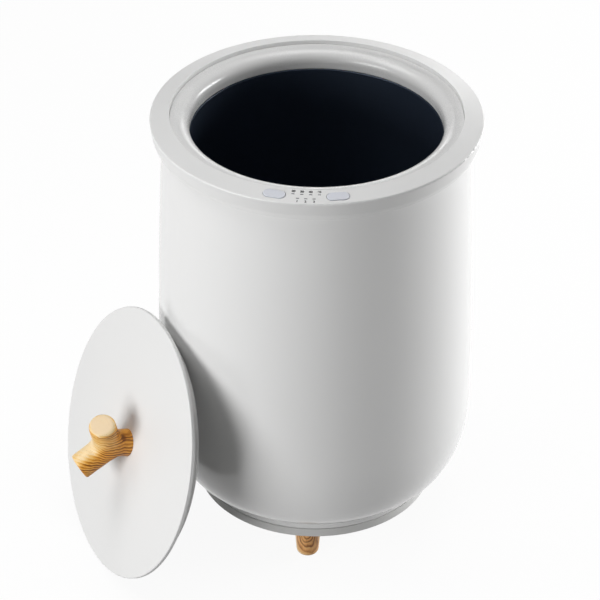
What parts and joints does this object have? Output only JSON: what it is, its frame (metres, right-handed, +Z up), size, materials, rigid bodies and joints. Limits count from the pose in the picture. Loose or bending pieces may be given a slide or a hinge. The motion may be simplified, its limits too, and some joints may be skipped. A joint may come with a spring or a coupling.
{
  "type": "towel warmer bucket",
  "caption": "Barrel-shaped heated bucket for towels on short wooden feet, with an open pot, rim buttons and a flat lid with a forked wooden handle.",
  "frame": {"origin": "on the floor under the bucket's axis, midway between the three feet", "axes": "+Z up along the bucket's axis; -Y towards the front, where the buttons and one foot are; +X to the right as seen from the front"},
  "size_m": [0.4129, 0.3792, 0.4562],
  "materials": {
    "shell_white": "glossy white moulding",
    "rim_grey": "satin pale grey moulding",
    "collar_grey": "satin pale grey moulding",
    "button_white": "satin cool white",
    "lid_white": "fine matt white",
    "liner_white": "fine matt white",
    "base_white": "satin white",
    "pot_navy": "dark anodised",
    "silicone": "pale silicone",
    "heater_orange": "silicone heating blanket",
    "felt": "needled felt",
    "steel": "zinc plated",
    "board_green": "solder mask",
    "black_plastic": "moulded black",
    "clear_plastic": "clear moulding",
    "lamp_amber": "clear lamp body",
    "copper_coil": "taped winding and laminations",
    "rubber_black": "black rubber",
    "wood": "oiled olive wood"
  },
  "bodies": {
    "bucket": {"outer_shell": "shell_white", "rim_ring": "rim_grey", "inner_collar": "collar_grey", "inner_pot": "pot_navy", "pot_gasket": "silicone", "clamp_ring": "steel", "clamp_screws": "steel", "rim_screws": "steel", "heater_band": "heater_orange", "insulation_sleeve": "felt", "insulation_pad": "felt", "thermostat": "steel", "thermal_fuse": "steel", "control_board": "board_green", "board_screws": "steel", "tact_switches": "black_plastic", "lamp_chips": "lamp_amber", "light_pipe": "clear_plastic", "base_plate": "base_white", "base_screws": "steel", "front_foot": "wood", "right_foot": "wood", "left_foot": "wood", "foot_bolts": "steel", "cord_gland": "rubber_black", "power_board": "board_green", "power_board_screws": "steel", "transformer": "copper_coil", "relay": "black_plastic", "capacitor": "black_plastic", "terminal_block": "base_white", "lead_header": "base_white", "control_lead": "rubber_black"},
    "lid": {"lid_disc": "lid_white", "lid_liner": "liner_white", "liner_screws": "steel", "lid_gasket": "silicone", "lid_handle": "wood", "handle_screw": "steel", "handle_washer": "steel"},
    "left_button": {"left_button": "button_white", "left_plunger": "black_plastic"},
    "right_button": {"right_button": "button_white", "right_plunger": "black_plastic"}
  },
  "joints": [
    {"name": "lid_draw", "type": "slide", "parent": "bucket", "child": "lid", "axis": [-0.8328, -0.4712, 0.2907], "range_m": [0, 0.25]},
    {"name": "left_press", "type": "slide", "parent": "bucket", "child": "left_button", "axis": [0, 0, -1], "range_m": [0, 0.0008], "stiffness_N_per_m": 500},
    {"name": "right_press", "type": "slide", "parent": "bucket", "child": "right_button", "axis": [0, 0, -1], "range_m": [0, 0.0008], "stiffness_N_per_m": 500}
  ]
}
